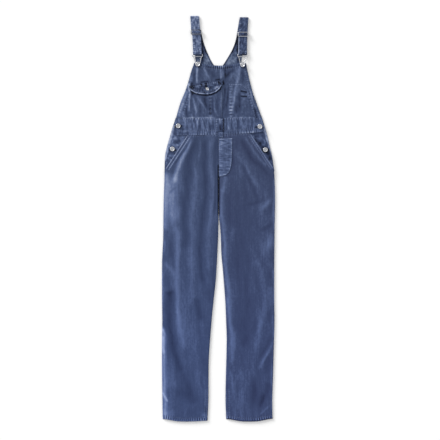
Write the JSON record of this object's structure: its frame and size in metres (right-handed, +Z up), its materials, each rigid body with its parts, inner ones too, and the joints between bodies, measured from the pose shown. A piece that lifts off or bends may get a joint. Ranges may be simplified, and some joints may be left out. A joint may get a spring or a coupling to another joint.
{
  "type": "corduroy overalls",
  "caption": "Full-length corduroy overalls laid flat, with a bib, flap pocket, gathered waist, slant pockets, folded straps and wire buckles.",
  "frame": {"origin": "centre of the garment's outline, on the surface it lies on", "axes": "+Z up from the surface through the front, +Y from the hems to the straps, +X to the wearer's left"},
  "size_m": [0.418, 1.5, 0.0144],
  "materials": {
    "corduroy": "washed blue cotton corduroy, worn paler along seams and folds",
    "corduroy_inside": "plain wrong side of the same corduroy",
    "nickel": "polished nickel plate on wire and on turned tack buttons"
  },
  "bodies": {
    "root": {"front_bib": "corduroy", "chest_pocket": "corduroy", "chest_flap": "corduroy", "pen_pocket": "corduroy", "front_waistband": "corduroy", "waistband_loop": "corduroy", "waistband_tab": "corduroy", "front_leg_right": "corduroy", "front_leg_left": "corduroy", "fly": "corduroy", "pocket_facing_right": "corduroy", "pocket_facing_left": "corduroy", "side_placket_right": "corduroy", "side_placket_left": "corduroy", "back_leg_right": "corduroy", "back_leg_left": "corduroy", "back_waistband": "corduroy", "strap_right": "corduroy", "strap_left": "corduroy", "back_bib_right": "corduroy_inside", "back_bib_left": "corduroy_inside", "slider_right": "nickel", "slider_left": "nickel", "buckle_right": "nickel", "buckle_left": "nickel", "bib_button_right": "nickel", "bib_button_left": "nickel", "chest_flap_button": "nickel", "side_button_upper_right": "nickel", "side_button_lower_right": "nickel", "side_button_upper_left": "nickel", "side_button_lower_left": "nickel"}
  },
  "joints": []
}
